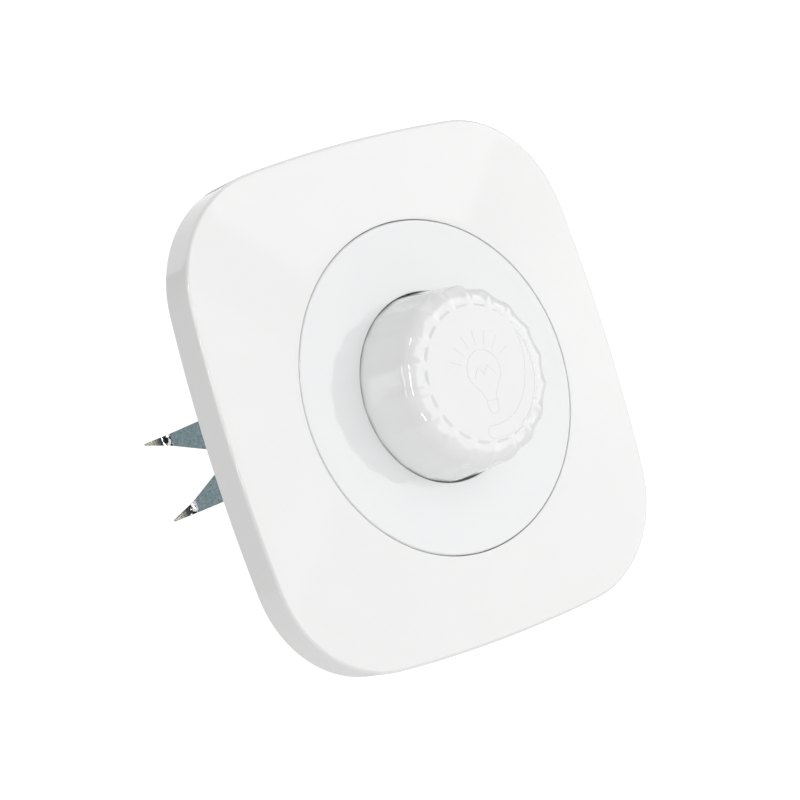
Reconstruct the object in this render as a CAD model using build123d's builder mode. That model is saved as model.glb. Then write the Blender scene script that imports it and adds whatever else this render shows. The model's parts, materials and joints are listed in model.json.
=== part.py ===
from build123d import *
import os
from math import atan2, cos, radians, sin, tan

os.makedirs("parts", exist_ok=True)

# The dimmer is seen from the room: +X right, +Z up, and -Y towards the viewer.
# The origin is the centre of the wall plane. Heights are measured from the wall into the room,
# so what lies in the wall box has a negative height. All sizes are in millimetres.

# Cover frame
frame_width = 82.9
frame_height = 85.0
frame_bow_radius = 277.0
frame_corner_radius = 20.0
frame_edge_height = 6.5
frame_draft = 0.4
frame_wall = 2.0
frame_edge_fillet = 0.6
rim_reach = 0.01
face_height = 9.8
ledge_width = 1.8
ledge_thickness = 1.2
locating_rib_thickness = 1.2
locating_rib_spacing = 40.0
locating_gap = 0.3

# Centre plate and its well for the knob
plate_diameter = 55.4
plate_gap = 0.3
plate_thickness = 2.0
plate_edge_radius = 0.3
well_gap = 0.2
well_wall = 1.5
well_floor = 1.5
plate_rib_count = 8
plate_rib_thickness = 1.2
plate_rib_depth = 2.0

# Knob
knob_diameter = 31.7
knob_projection = 11.5
knob_taper = 4.7
knob_face_diameter = 22.6
knob_shoulder_depth = 3.2
knob_wall = 1.8
knob_roof = 2.0
flute_count = 18
flute_depth = 0.7
flute_share = 0.9
hub_diameter = 9.6
hub_rib_count = 3
hub_rib_thickness = 1.0
push_travel = 1.2
push_clearance = 3.2
clip_thickness = 0.35
clip_width = 3.6

# Potentiometer with its push switch
shaft_diameter = 6.0
shaft_flat_depth = 1.5
shaft_fit = 0.05
shaft_end_gap = 0.3
bushing_diameter = 10.0
bushing_stand_out = 1.6
bushing_fit = 0.05
bushing_hole_gap = 0.1
case_diameter = 17.0
case_wall = 1.5
case_depth = 11.7
wiper_diameter = 12.0
wiper_thickness = 1.5
wiper_setback = 4.7
plunger_diameter = 11.0
plunger_thickness = 1.2
plunger_stem_diameter = 2.6
plunger_end_gap = 0.2
spring_diameter = 6.4
spring_wire = 0.5
spring_turns = 3
washer_diameter = 16.0
washer_thickness = 0.5
nut_width = 14.0
nut_thickness = 2.2

# Steel support frame
support_side_margin = 5.95
support_end_margin = 7.0
support_corner_radius = 9.0
support_thickness = 1.2
support_opening = 34.0
box_screw_spacing = 60.0
slot_width = 3.6
slot_length = 5.0
frame_screw_side_inset = 3.7
frame_screw_end_inset = 3.5
frame_screw_diameter = 2.4
frame_screw_length = 10.2
frame_screw_head_diameter = 5.2
frame_screw_head_height = 1.6
screw_head_chamfer = 0.4
cross_recess_share = 0.6
screw_hole_gap = 0.3
thread_gap = 0.05

# Heat plate and insert housing
heat_plate_thickness = 1.5
insert_width = 42.4
insert_height = 46.0
insert_corner_radius = 5.0
insert_depth = 23.0
insert_wall = 1.5
channel_height = 20.0
claw_gap = 0.3
boss_diameter = 4.8
cover_thickness = 2.0
cover_edge_radius = 1.2
cover_screw_length = 8.0
cover_screw_head_diameter = 4.4
cover_screw_head_height = 1.4
cover_counterbore_gap = 0.2

# Spreading claws, their nuts and screws
claw_screw_stand_out = 2.0
claw_screw_diameter = 3.5
claw_screw_head_diameter = 6.0
claw_screw_head_height = 2.0
claw_screw_tip_depth = 20.2
claw_screw_slot_width = 0.9
claw_screw_slot_depth = 1.0
claw_nut_width = 7.4
claw_nut_thickness = 3.5
claw_nut_distance = 14.2
claw_hinge_depth = 2.8
claw_sheet = 1.2
claw_sheet_offset = 0.4
claw_tilt = 16.0
claw_lean = 4.9
claw_offset = 0.75
claw_nut_gap = 0.2
claw_fork_gap = 3.9
claw_prong_width = 4.88
claw_taper_start = 14.5
claw_bend_start = 20.9
claw_bend_radius = 2.2
claw_tip_bend = 28.0
claw_tip_length = 3.4
claw_point_distance = 25.2
claw_point_width = 0.2
claw_bridge_start = 8.5
claw_bridge_length = 3.0
claw_eye_diameter = 3.2
trunnion_diameter = 1.9
trunnion_length = 1.9
trunnion_fit = 0.05
lug_gap = 0.3
lug_width = 3.6

# Lifting cage terminals
terminal_count = 3
terminal_boss_gap = 0.1
terminal_floor_gap = 0.6
terminal_partition = 1.8
terminal_divider = 1.2
cage_room_gap = 0.6
cage_length = 6.6
cage_side_wall = 0.9
cage_front_wall = 1.0
cage_thread_wall = 1.8
cage_travel = 2.8
wire_gap = 3.0
wire_entry_diameter = 4.2
bar_side_gap = 0.2
bar_thickness = 1.0
bar_overlap = 1.4
terminal_screw_diameter = 3.0
terminal_screw_head_diameter = 5.4
terminal_screw_head_height = 1.8
terminal_tip_gap = 0.8
terminal_slot_width = 0.8
terminal_slot_depth = 0.9
driver_hole_diameter = 4.6
driver_gap = 0.1

# Circuit board and what it carries
board_thickness = 1.6
board_gap = 0.4
wire_diameter = 0.6
wire_hole_gap = 0.05
wire_reach = 0.9
wire_bend_radius = 0.5
body_edge_radius = 0.5
body_corner_radius = 0.8
triac_width = 10.0
triac_body_length = 9.2
triac_tab_length = 6.4
triac_tab_thickness = 1.3
triac_body_thickness = 4.5
triac_boss_gap = 2.1
triac_hole_inset = 2.9
pad_thickness = 0.2
pad_margin = 0.3
lead_width = 0.8
lead_thickness = 0.5
lead_pitch = 2.54
lead_reach = 3.0
triac_screw_diameter = 3.0
triac_screw_head_diameter = 5.2
triac_screw_head_height = 1.8
choke_wall_gap = 0.95
choke_z = 9.0
choke_diameter = 17.6
choke_bore = 9.0
choke_thickness = 6.2
winding_thickness = 0.7
winding_gap = 0.05
winding_count = 16
winding_arc = 300.0
winding_width_share = 0.8
big_capacitor_size = (10.4, 7.8, 17.4)
big_capacitor_gap = 0.6
big_capacitor_pitch = 15.0
small_capacitor_size = (2.6, 6.2, 7.0)
small_capacitor_x = 14.0
small_capacitor_pitch = 2.5
resistor_diameter = 2.3
resistor_length = 6.5
resistor_places = (-11.0, -14.2)
diac_diameter = 1.8
diac_length = 3.8
diac_x = 10.6
fuse_diameter = 5.0
fuse_length = 20.0
fuse_cap_length = 5.0
fuse_cap_thickness = 0.15
fuse_z = -6.6
fuse_standoff = 0.9
fuse_clip_width = 3.6
fuse_clip_sheet = 0.4

# Heights and places that follow from the driving dimensions
plate_radius = plate_diameter / 2
plate_hole_radius = plate_radius + plate_gap
plate_back = face_height - plate_thickness
ledge_radius = plate_hole_radius - ledge_width
knob_radius = knob_diameter / 2
well_radius = knob_radius + well_gap
well_bottom = support_thickness
floor_front = well_bottom + well_floor
washer_front = floor_front + washer_thickness
nut_front = washer_front + nut_thickness
bushing_front = nut_front + bushing_stand_out
knob_front = face_height + knob_projection
knob_back = floor_front + push_travel + push_clearance
hub_back = bushing_front + push_travel + shaft_end_gap
hub_radius = hub_diameter / 2
shaft_radius = shaft_diameter / 2
shaft_front = knob_front - knob_roof - shaft_end_gap
heat_plate_back = -heat_plate_thickness
case_back = heat_plate_back - case_depth
case_room_front = heat_plate_back - case_wall
case_room_back = case_back + case_wall
case_room_radius = case_diameter / 2 - case_wall
wiper_front = heat_plate_back - wiper_setback
shaft_back = wiper_front - wiper_thickness
plunger_back = shaft_back - plunger_thickness
board_front = case_back
board_back = board_front - board_thickness
cover_front = -insert_depth
cover_back = cover_front - cover_thickness
room_height = insert_height - 2 * insert_wall
claw_screw_x = insert_width / 2 + claw_screw_stand_out
channel_x = claw_screw_x - claw_nut_width / 2 - claw_gap
channel_room = channel_x - insert_wall
claw_hinge_height = -claw_hinge_depth
support_width = frame_width - 2 * support_side_margin
support_height = frame_height - 2 * support_end_margin
slot_x = box_screw_spacing / 2
screw_radius = frame_screw_diameter / 2
frame_screw_x = insert_width / 2 - frame_screw_side_inset
frame_screw_z = insert_height / 2 - frame_screw_end_inset
terminal_z = terminal_floor_gap + cage_length / 2 - room_height / 2
terminal_wall_z = terminal_z + cage_length / 2 + claw_gap
bar_back = board_front
bar_front = bar_back + bar_thickness
cage_room_front = bar_front + wire_gap
cage_front = cage_room_front + cage_front_wall
terminal_tip = bar_back - terminal_tip_gap
terminal_head_front = cover_front + driver_gap + terminal_screw_head_height
cage_back = terminal_head_front + cage_travel + driver_gap
cage_thread_front = cage_back + cage_thread_wall
frame_screw_sides = (-frame_screw_x, frame_screw_x)
frame_screw_places = [(x, z) for x in frame_screw_sides for z in (-frame_screw_z, frame_screw_z)]
terminal_row_width = 2 * (frame_screw_x - boss_diameter / 2 - terminal_boss_gap)
terminal_pitch = terminal_row_width / terminal_count
terminal_places = [(n - (terminal_count - 1) / 2) * terminal_pitch for n in range(terminal_count)]
cage_width = terminal_pitch - terminal_partition - 2 * cage_room_gap
cage_inner_width = cage_width - 2 * cage_side_wall
bar_width = cage_inner_width - 2 * bar_side_gap


def front(height):
    """Return the plane parallel to the wall at this height, facing the room"""
    return Plane.XZ.offset(height)


def save(builder, name):
    """Label a finished piece and write it to its own file"""
    builder.part.label = name
    export_step(builder.part, f"parts/{name}.step")


def frame_outline(inset):
    """Return the frame's square outline with bowed sides, moved inwards by inset"""
    reach = frame_bow_radius - frame_width / 2
    rise = frame_bow_radius - frame_height / 2
    with BuildSketch() as outline:
        with Locations((-reach, 0)):
            Circle(frame_bow_radius - inset)
        for centre in ((reach, 0), (0, -rise), (0, rise)):
            with Locations(centre):
                Circle(frame_bow_radius - inset, mode=Mode.INTERSECT)
        fillet(outline.vertices(), frame_corner_radius - inset)
    return outline.sketch


def divided_circle(radius, inset):
    """Return a disc whose rim is divided where the frame's outline has its corners"""
    angles = sorted(atan2(v.Y, v.X) for v in frame_outline(inset).vertices())
    turns = angles[1:] + [angles[0] + radians(360)]
    with BuildSketch() as disc:
        with BuildLine():
            for start, end in zip(angles, turns):
                points = [(radius * cos(a), radius * sin(a)) for a in (start, (start + end) / 2, end)]
                ThreePointArc(*points)
        make_face()
    return disc.sketch


def insert_outline(inset):
    """Return the insert's outline with the two side channels for the claws"""
    half = insert_width / 2
    with BuildSketch() as outline:
        RectangleRounded(insert_width - 2 * inset, insert_height - 2 * inset, insert_corner_radius - inset)
        for side in (-1, 1):
            with Locations((side * (half + channel_x) / 2, 0)):
                Rectangle(half - channel_x + 2 * inset, channel_height + 2 * inset, mode=Mode.SUBTRACT)
    return outline.sketch


# Cover frame: bowed square shell whose face rises to the round centre plate
with BuildPart() as cover_frame:
    for height, inset in ((0, frame_draft), (frame_edge_height, 0)):
        with BuildSketch(front(height)):
            add(frame_outline(inset))
    loft(ruled=True)
    with BuildSketch(front(frame_edge_height)):
        add(frame_outline(0))
    with BuildSketch(front(face_height)):
        add(divided_circle(plate_hole_radius, 0))
    loft(ruled=True)
    rim_place = -frame_edge_height
    rim = cover_frame.edges().filter_by_position(Axis.Y, rim_place - rim_reach, rim_place + rim_reach)
    fillet(rim, frame_edge_fillet)
    roof_height = frame_edge_height - frame_wall
    for height, inset in ((0, frame_draft + frame_wall), (roof_height, frame_wall)):
        with BuildSketch(front(height)):
            add(frame_outline(inset))
    loft(ruled=True, mode=Mode.SUBTRACT)
    with BuildSketch(front(roof_height)):
        add(frame_outline(frame_wall))
    with BuildSketch(front(plate_back)):
        add(divided_circle(plate_hole_radius + frame_wall, frame_wall))
    loft(ruled=True, mode=Mode.SUBTRACT)
    with BuildSketch(front(plate_back - ledge_thickness)):
        Circle(plate_hole_radius + frame_wall)
    extrude(amount=ledge_thickness)
    with BuildSketch(front(plate_back)):
        Circle(plate_hole_radius)
    extrude(amount=plate_thickness + ledge_thickness, mode=Mode.SUBTRACT)
    with BuildSketch(front(plate_back - ledge_thickness)):
        Circle(ledge_radius)
    extrude(amount=ledge_thickness, mode=Mode.SUBTRACT)
    rib_root = frame_draft + frame_wall / 2
    side_rib_length = support_side_margin - locating_gap - rib_root
    end_rib_length = support_end_margin - locating_gap - rib_root
    with BuildSketch(front(0)):
        for side in (-1, 1):
            for place in (-locating_rib_spacing / 2, locating_rib_spacing / 2):
                with Locations((side * (frame_width / 2 - rib_root - side_rib_length / 2), place)):
                    Rectangle(side_rib_length, locating_rib_thickness)
                with Locations((place, side * (frame_height / 2 - rib_root - end_rib_length / 2))):
                    Rectangle(locating_rib_thickness, end_rib_length)
    extrude(amount=roof_height)
save(cover_frame, "cover_frame")

# Centre plate: round plate with a well that the knob's skirt goes into
with BuildPart() as centre_plate:
    with BuildSketch(front(plate_back)):
        Circle(plate_radius)
    extrude(amount=plate_thickness)
    with BuildSketch(front(well_bottom)):
        Circle(well_radius + well_wall)
    extrude(amount=plate_back - well_bottom)
    with BuildSketch(front(0)):
        Circle(washer_diameter / 2)
    extrude(amount=well_bottom)
    with BuildSketch(front(plate_back - plate_rib_depth)):
        with PolarLocations((well_radius + ledge_radius) / 2, plate_rib_count):
            Rectangle(ledge_radius - well_radius - 2 * plate_gap, plate_rib_thickness)
    extrude(amount=plate_rib_depth)
    with BuildSketch(front(floor_front)):
        Circle(well_radius)
    extrude(amount=face_height - floor_front, mode=Mode.SUBTRACT)
    with BuildSketch(front(0)):
        Circle(bushing_diameter / 2 + bushing_hole_gap)
    extrude(amount=floor_front, mode=Mode.SUBTRACT)
    fillet(centre_plate.faces().sort_by(Axis.Y)[0].edges(), plate_edge_radius)
save(centre_plate, "centre_plate")

# Knob: hollow fluted cap with a hub for the flatted shaft
taper_slope = tan(radians(knob_taper))
shoulder_height = knob_front - knob_shoulder_depth


def knob_ridge(height):
    """Return the radius of the flutes' ridges at this height"""
    return knob_radius - (height - knob_back) * taper_slope


def fluted_outline(radius):
    """Return the knob's outline at one height: round ridges between shallow scoops"""
    scoop_angle = radians(360 / flute_count) * flute_share
    step = radians(360 / flute_count)
    depth = flute_depth * radius / knob_radius
    with BuildSketch() as outline:
        with BuildLine():
            for n in range(flute_count):
                start = (n + 0.5) * step - scoop_angle / 2
                end = start + scoop_angle
                middle = (n + 0.5) * step
                ridge = (n + 1) * step
                after = (n + 1.5) * step - scoop_angle / 2
                ThreePointArc(
                    (radius * cos(start), radius * sin(start)),
                    ((radius - depth) * cos(middle), (radius - depth) * sin(middle)),
                    (radius * cos(end), radius * sin(end)),
                )
                ThreePointArc(
                    (radius * cos(end), radius * sin(end)),
                    (radius * cos(ridge), radius * sin(ridge)),
                    (radius * cos(after), radius * sin(after)),
                )
        make_face()
    return outline.sketch


with BuildPart() as knob:
    for height in (knob_back, knob_front):
        with BuildSketch(front(height)):
            add(fluted_outline(knob_ridge(height)))
    loft(ruled=True)
    shoulder_radius = knob_ridge(shoulder_height)
    face_radius = knob_face_diameter / 2
    with BuildSketch(Plane.XY):
        with BuildLine():
            Polyline((0, -knob_front), (0, -knob_back), (knob_radius, -knob_back))
            Line((knob_radius, -knob_back), (shoulder_radius, -shoulder_height))
            EllipticalCenterArc(
                (face_radius, -shoulder_height),
                shoulder_radius - face_radius,
                knob_shoulder_depth,
                start_angle=0,
                arc_size=-90,
            )
            Line((face_radius, -knob_front), (0, -knob_front))
        make_face()
    revolve(axis=Axis.Y, mode=Mode.INTERSECT)
    cup_radius = knob_radius - flute_depth - knob_wall
    roof_back = knob_front - knob_roof
    roof_radius = cup_radius - (roof_back - knob_back) * taper_slope
    with BuildSketch(Plane.XY):
        with BuildLine():
            Polyline(
                (0, -knob_back),
                (cup_radius, -knob_back),
                (roof_radius, -roof_back),
                (0, -roof_back),
                close=True,
            )
        make_face()
    revolve(axis=Axis.Y, mode=Mode.SUBTRACT)
    with BuildSketch(front(hub_back)):
        Circle(hub_radius)
    extrude(amount=roof_back - hub_back)
    rib_length = roof_radius - hub_radius + knob_wall
    with BuildSketch(front((hub_back + roof_back) / 2)):
        with PolarLocations(hub_radius + rib_length / 2 - knob_wall / 2, hub_rib_count, 90):
            Rectangle(rib_length, hub_rib_thickness)
    extrude(amount=(roof_back - hub_back) / 2)
    flat_z = shaft_radius - shaft_flat_depth
    with BuildSketch(front(hub_back)):
        Circle(shaft_radius + shaft_fit)
        with Locations((0, flat_z + clip_thickness + 2 * shaft_fit + shaft_radius)):
            Rectangle(shaft_diameter + hub_radius, 2 * shaft_radius, mode=Mode.SUBTRACT)
    extrude(amount=roof_back - hub_back, mode=Mode.SUBTRACT)
save(knob, "knob")

# Knob clip: leaf spring between the shaft's flat and the hub
with BuildPart() as knob_clip:
    with BuildSketch(front(hub_back + shaft_end_gap)):
        with Locations((0, flat_z + shaft_fit + clip_thickness / 2)):
            Rectangle(clip_width, clip_thickness)
    extrude(amount=roof_back - hub_back - 2 * shaft_end_gap)
save(knob_clip, "knob_clip")

# Potentiometer shaft: flatted spindle with the wiper disc at its inner end
with BuildPart() as potentiometer_shaft:
    with BuildSketch(front(shaft_back)):
        Circle(shaft_radius)
    extrude(amount=shaft_front - shaft_back)
    with BuildSketch(front(shaft_back)):
        Circle(wiper_diameter / 2)
    extrude(amount=wiper_thickness)
    with BuildSketch(front(hub_back)):
        with Locations((0, flat_z + shaft_radius)):
            Rectangle(2 * shaft_diameter, 2 * shaft_radius)
    extrude(amount=shaft_front - hub_back, mode=Mode.SUBTRACT)
    chamfer(potentiometer_shaft.faces().sort_by(Axis.Y)[0].edges(), shaft_end_gap)
save(potentiometer_shaft, "potentiometer_shaft")

# Potentiometer case: threaded bushing on a round can
with BuildPart() as potentiometer_case:
    with BuildSketch(front(case_back)):
        Circle(case_diameter / 2)
    extrude(amount=case_depth)
    with BuildSketch(front(heat_plate_back)):
        Circle(bushing_diameter / 2)
    extrude(amount=bushing_front - heat_plate_back)
    with BuildSketch(front(case_room_back)):
        Circle(case_room_radius)
    extrude(amount=case_room_front - case_room_back, mode=Mode.SUBTRACT)
    with BuildSketch(front(case_room_front)):
        Circle(shaft_radius + shaft_fit)
    extrude(amount=bushing_front - case_room_front, mode=Mode.SUBTRACT)
save(potentiometer_case, "potentiometer_case")

# Washer and nut that clamp the centre plate
with BuildPart() as potentiometer_washer:
    with BuildSketch(front(floor_front)):
        Circle(washer_diameter / 2)
        Circle(bushing_diameter / 2 + bushing_hole_gap, mode=Mode.SUBTRACT)
    extrude(amount=washer_thickness)
save(potentiometer_washer, "potentiometer_washer")

with BuildPart() as potentiometer_nut:
    with BuildSketch(front(washer_front)):
        RegularPolygon(nut_width / 2, 6, major_radius=False)
        Circle(bushing_diameter / 2 + bushing_fit, mode=Mode.SUBTRACT)
    extrude(amount=nut_thickness)
save(potentiometer_nut, "potentiometer_nut")

# Switch plunger: slides with the shaft but doesn't turn
stem_end = case_room_back + push_travel + plunger_end_gap
with BuildPart() as switch_plunger:
    with BuildSketch(front(plunger_back)):
        Circle(plunger_diameter / 2)
    extrude(amount=plunger_thickness)
    with BuildSketch(front(stem_end)):
        Circle(plunger_stem_diameter / 2)
    extrude(amount=plunger_back - stem_end)
save(switch_plunger, "switch_plunger")

# Switch spring: coil that returns the plunger
spring_length = plunger_back - case_room_back - spring_wire
spring_radius = (spring_diameter - spring_wire) / 2
spring_start = case_room_back + spring_wire / 2
with BuildPart() as switch_spring:
    with BuildLine() as coil:
        Helix(
            spring_length / spring_turns,
            spring_length,
            spring_radius,
            center=(0, -spring_start, 0),
            direction=(0, -1, 0),
        )
    with BuildSketch(Plane(origin=coil.line @ 0, z_dir=coil.line % 0)):
        Circle(spring_wire / 2)
    sweep(is_frenet=True)
save(switch_spring, "switch_spring")

# Support frame: steel ring with the box screw slots and two pairs of claw lugs
prong_outer = claw_fork_gap / 2 + claw_prong_width
lug_middle = prong_outer + lug_gap + support_thickness / 2
bolt_hole_radius = (claw_screw_diameter + screw_hole_gap) / 2
sheet_at_nut = claw_sheet_offset / cos(radians(claw_tilt))
nut_front_distance = claw_nut_distance - claw_nut_thickness / 2
nut_outer_x = claw_screw_x + claw_nut_width / 2
claw_hinge_x = nut_outer_x + claw_nut_gap - sheet_at_nut - nut_front_distance * tan(radians(claw_tilt))
with BuildPart() as support_frame:
    with BuildSketch(front(0)):
        RectangleRounded(support_width, support_height, support_corner_radius)
        Circle(support_opening / 2, mode=Mode.SUBTRACT)
        for side in (-1, 1):
            with Locations((side * slot_x, 0)):
                SlotOverall(slot_length, slot_width, mode=Mode.SUBTRACT)
            with Locations((0, side * slot_x)):
                SlotOverall(slot_length, slot_width, rotation=90, mode=Mode.SUBTRACT)
            with Locations((side * claw_screw_x, 0)):
                Circle(bolt_hole_radius, mode=Mode.SUBTRACT)
        with Locations(*frame_screw_places):
            Circle(screw_radius + screw_hole_gap, mode=Mode.SUBTRACT)
    extrude(amount=support_thickness)
    for side in (-1, 1):
        for place in (-lug_middle, lug_middle):
            with BuildSketch(Plane.XY.offset(place - side * claw_offset - support_thickness / 2)):
                with Locations((side * claw_hinge_x, claw_hinge_depth / 2)):
                    Rectangle(lug_width, claw_hinge_depth)
                with Locations((side * claw_hinge_x, claw_hinge_depth)):
                    Circle(lug_width / 2)
                    Circle(trunnion_diameter / 2 + trunnion_fit, mode=Mode.SUBTRACT)
            extrude(amount=support_thickness)
save(support_frame, "support_frame")

# Heat plate: aluminium plate behind the support frame
triac_tab_end = triac_boss_gap + boss_diameter / 2 - frame_screw_x
triac_body_end = triac_tab_end + triac_tab_length + triac_body_length
triac_z = (case_diameter / 2 + room_height / 2) / 2
triac_hole_x = triac_tab_end + triac_hole_inset
with BuildPart() as heat_plate:
    with BuildSketch(front(heat_plate_back)):
        add(insert_outline(0))
        Circle(bushing_diameter / 2 + bushing_hole_gap, mode=Mode.SUBTRACT)
        with Locations(*frame_screw_places):
            Circle(screw_radius + screw_hole_gap, mode=Mode.SUBTRACT)
        with Locations((triac_hole_x, triac_z)):
            Circle(triac_screw_diameter / 2 + thread_gap, mode=Mode.SUBTRACT)
    extrude(amount=heat_plate_thickness)
save(heat_plate, "heat_plate")

# Frame screws: hold the support frame and the heat plate on the insert
with BuildPart() as frame_screws:
    with BuildSketch(front(support_thickness)):
        with Locations(*frame_screw_places):
            Circle(frame_screw_head_diameter / 2)
    extrude(amount=frame_screw_head_height)
    chamfer(frame_screws.faces().group_by(Axis.Y)[0].edges(), screw_head_chamfer)
    with BuildSketch(front(support_thickness - frame_screw_length)):
        with Locations(*frame_screw_places):
            Circle(screw_radius)
    extrude(amount=frame_screw_length)
    with BuildSketch(front(support_thickness + frame_screw_head_height)):
        with Locations(*frame_screw_places):
            Rectangle(frame_screw_head_diameter * cross_recess_share, claw_screw_slot_width)
            Rectangle(claw_screw_slot_width, frame_screw_head_diameter * cross_recess_share)
    extrude(amount=-claw_screw_slot_depth, mode=Mode.SUBTRACT)
save(frame_screws, "frame_screws")

# Insert base: housing with screw bosses and the terminal compartments
room_front = heat_plate_back
with BuildPart() as insert_base:
    with BuildSketch(front(cover_front)):
        add(insert_outline(0))
    extrude(amount=room_front - cover_front)
    with BuildSketch(front(cover_front)):
        add(insert_outline(insert_wall))
    extrude(amount=room_front - cover_front, mode=Mode.SUBTRACT)
    with BuildSketch(front(cover_front)):
        with Locations(*frame_screw_places):
            Circle(boss_diameter / 2)
    extrude(amount=room_front - cover_front)
    floor_z = -room_height / 2
    compartment_height = terminal_wall_z - floor_z
    with BuildSketch(front(cover_front)):
        with Locations((0, terminal_wall_z + terminal_divider / 2)):
            Rectangle(terminal_row_width, terminal_divider)
        for n in range(terminal_count + 1):
            with Locations(((n - terminal_count / 2) * terminal_pitch, floor_z + compartment_height / 2)):
                Rectangle(terminal_partition, compartment_height)
    extrude(amount=room_front - cover_front)
    for place in terminal_places:
        with BuildSketch(Plane.XY.offset(-insert_height / 2)):
            with Locations((place, -(bar_front + wire_gap / 2))):
                Circle(wire_entry_diameter / 2)
        extrude(amount=insert_wall, mode=Mode.SUBTRACT)
        with BuildSketch(front(cover_front)):
            with Locations((place, terminal_wall_z + terminal_divider / 2)):
                Rectangle(bar_width + 2 * thread_gap, 2 * terminal_divider)
        extrude(amount=bar_front + thread_gap - cover_front, mode=Mode.SUBTRACT)
    with BuildSketch(front(cover_front)):
        with Locations(*frame_screw_places):
            Circle(screw_radius + thread_gap)
    extrude(amount=room_front - cover_front, mode=Mode.SUBTRACT)
save(insert_base, "insert_base")

# Rear cover: closes the housing and gives access to the terminal screws
with BuildPart() as rear_cover:
    with BuildSketch(front(cover_back)):
        add(insert_outline(0))
    extrude(amount=cover_thickness)
    fillet(rear_cover.faces().sort_by(Axis.Y)[-1].edges(), cover_edge_radius)
    with BuildSketch(front(cover_back)):
        for place in terminal_places:
            with Locations((place, terminal_z)):
                Circle(driver_hole_diameter / 2)
        with Locations(*frame_screw_places):
            Circle(screw_radius + screw_hole_gap)
    extrude(amount=cover_thickness, mode=Mode.SUBTRACT)
    with BuildSketch(front(cover_back)):
        with Locations(*frame_screw_places):
            Circle(cover_screw_head_diameter / 2 + cover_counterbore_gap)
    extrude(amount=cover_screw_head_height, mode=Mode.SUBTRACT)
save(rear_cover, "rear_cover")

# Cover screws: hold the rear cover
with BuildPart() as cover_screws:
    with BuildSketch(front(cover_back)):
        with Locations(*frame_screw_places):
            Circle(cover_screw_head_diameter / 2)
    extrude(amount=cover_screw_head_height)
    chamfer(cover_screws.faces().group_by(Axis.Y)[-1].edges(), screw_head_chamfer)
    with BuildSketch(front(cover_back + cover_screw_head_height)):
        with Locations(*frame_screw_places):
            Circle(screw_radius)
    extrude(amount=cover_screw_length)
    with BuildSketch(front(cover_back)):
        with Locations(*frame_screw_places):
            Rectangle(cover_screw_head_diameter * cross_recess_share, claw_screw_slot_width)
            Rectangle(claw_screw_slot_width, cover_screw_head_diameter * cross_recess_share)
    extrude(amount=claw_screw_slot_depth, mode=Mode.SUBTRACT)
save(cover_screws, "cover_screws")

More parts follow.
